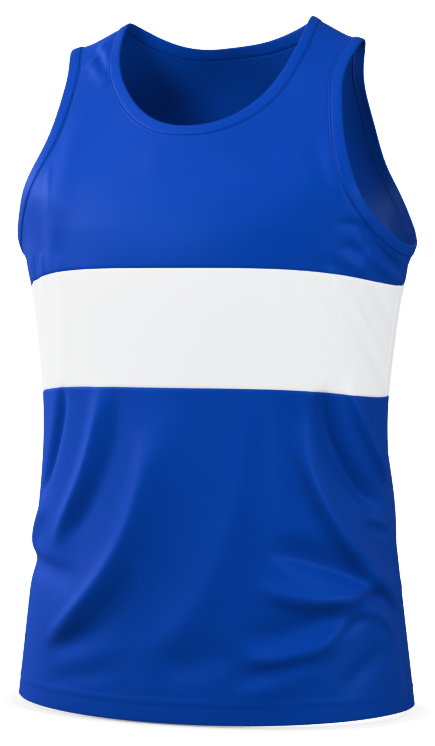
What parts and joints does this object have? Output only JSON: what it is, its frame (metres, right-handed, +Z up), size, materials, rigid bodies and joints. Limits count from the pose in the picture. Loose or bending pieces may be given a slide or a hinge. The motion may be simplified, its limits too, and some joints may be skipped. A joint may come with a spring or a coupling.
{
  "type": "running singlet",
  "caption": "Sleeveless running singlet of thin knit cloth, filled out as when worn, with bound neck and armholes, a contrast chest band and a turned hem.",
  "frame": {"origin": "midway between the two shoulder straps, at the height of the shoulder ridge that carries the garment", "axes": "+Z up, -Y out of the wearer's front, +X to the wearer's left"},
  "size_m": [0.4161, 0.264, 0.691],
  "materials": {
    "blue_knit": "smooth polyester knit with a soft sheen",
    "white_knit": "smooth polyester knit, matt",
    "blue_binding": "folded strip of the same knit, twin-needle stitched"
  },
  "bodies": {
    "root": {"front_upper": "blue_knit", "back_upper": "blue_knit", "front_lower": "blue_knit", "back_lower": "blue_knit", "front_band": "white_knit", "back_band": "white_knit", "neck_binding": "blue_binding", "armhole_binding_left": "blue_binding", "armhole_binding_right": "blue_binding"}
  },
  "joints": []
}
